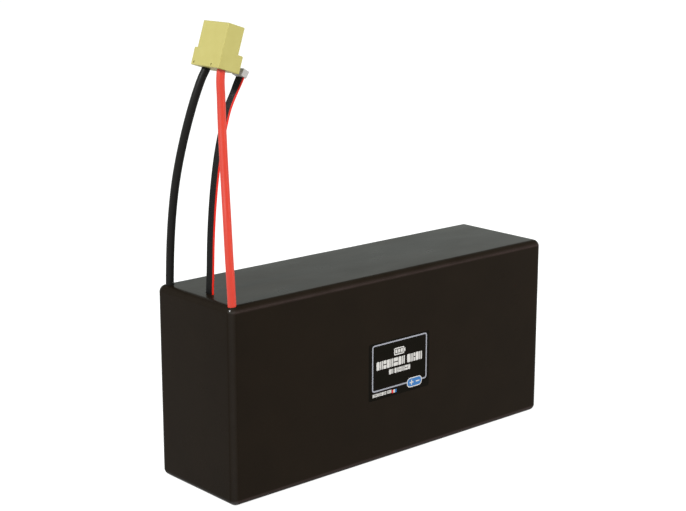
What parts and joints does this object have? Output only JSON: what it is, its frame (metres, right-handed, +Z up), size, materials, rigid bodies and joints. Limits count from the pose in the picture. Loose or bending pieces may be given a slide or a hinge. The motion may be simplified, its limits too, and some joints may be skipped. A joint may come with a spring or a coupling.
{
  "type": "lithium battery pack",
  "caption": "Soft-case lithium polymer battery pack in a heat-shrink jacket, with silicone power leads to a block connector and a balance ribbon ending in a small plug.",
  "frame": {"origin": "bottom centre of the pack block, where it stands on its long narrow side", "axes": "+X along the pack from the lead end to the tail end, -Y out of the face with the label, +Z up along the leads"},
  "size_m": [0.207, 0.0576, 0.2185],
  "materials": {
    "jacket": "satin",
    "label": "gloss",
    "side_board": "satin",
    "foam": "matte",
    "tape": "gloss",
    "electrode": "matte",
    "pouch_foil": "satin",
    "positive_tab": "satin",
    "negative_tab": "satin",
    "tab_board": "gloss",
    "copper": "satin",
    "solder": "satin",
    "conductor": "satin",
    "lead_red": "satin",
    "lead_black": "satin",
    "wire_red": "satin",
    "wire_black": "satin",
    "connector": "satin",
    "connector_cap": "satin",
    "gold_contact": "polished",
    "balance_plug": "satin",
    "crimp_contact": "satin"
  },
  "bodies": {
    "root": {"heat_shrink_jacket": "jacket", "spec_label": "label", "front_board": "side_board", "rear_board": "side_board", "base_liner": "foam", "top_liner": "foam", "tail_foam": "foam", "lead_end_foam": "foam", "stack_tape": "tape", "cell_1": "pouch_foil", "cell_2": "pouch_foil", "cell_3": "pouch_foil", "cell_4": "pouch_foil", "cell_5": "pouch_foil", "electrode_stack_1": "electrode", "electrode_stack_2": "electrode", "electrode_stack_3": "electrode", "electrode_stack_4": "electrode", "electrode_stack_5": "electrode", "positive_tab_1": "positive_tab", "positive_tab_2": "positive_tab", "positive_tab_3": "positive_tab", "positive_tab_4": "positive_tab", "positive_tab_5": "positive_tab", "negative_tab_1": "negative_tab", "negative_tab_2": "negative_tab", "negative_tab_3": "negative_tab", "negative_tab_4": "negative_tab", "negative_tab_5": "negative_tab", "cell_pad_1": "foam", "cell_pad_2": "foam", "cell_pad_3": "foam", "cell_pad_4": "foam", "tab_board": "tab_board", "series_link_1": "copper", "series_link_2": "copper", "series_link_3": "copper", "series_link_4": "copper", "positive_terminal": "copper", "negative_terminal": "copper", "tab_solder": "solder", "positive_lead_inner": "lead_red", "negative_lead_inner": "lead_black", "terminal_conductors": "conductor", "cup_conductors": "conductor", "positive_lead": "lead_red", "negative_lead": "lead_black", "balance_wire_1": "wire_red", "balance_wire_2": "wire_black", "balance_wire_3": "wire_black", "balance_wire_4": "wire_black", "balance_wire_5": "wire_black", "balance_wire_6": "wire_black", "connector_housing": "connector", "connector_rear_cap": "connector_cap", "positive_socket": "gold_contact", "negative_socket": "gold_contact", "balance_plug_housing": "balance_plug", "balance_contacts": "crimp_contact"}
  },
  "joints": []
}
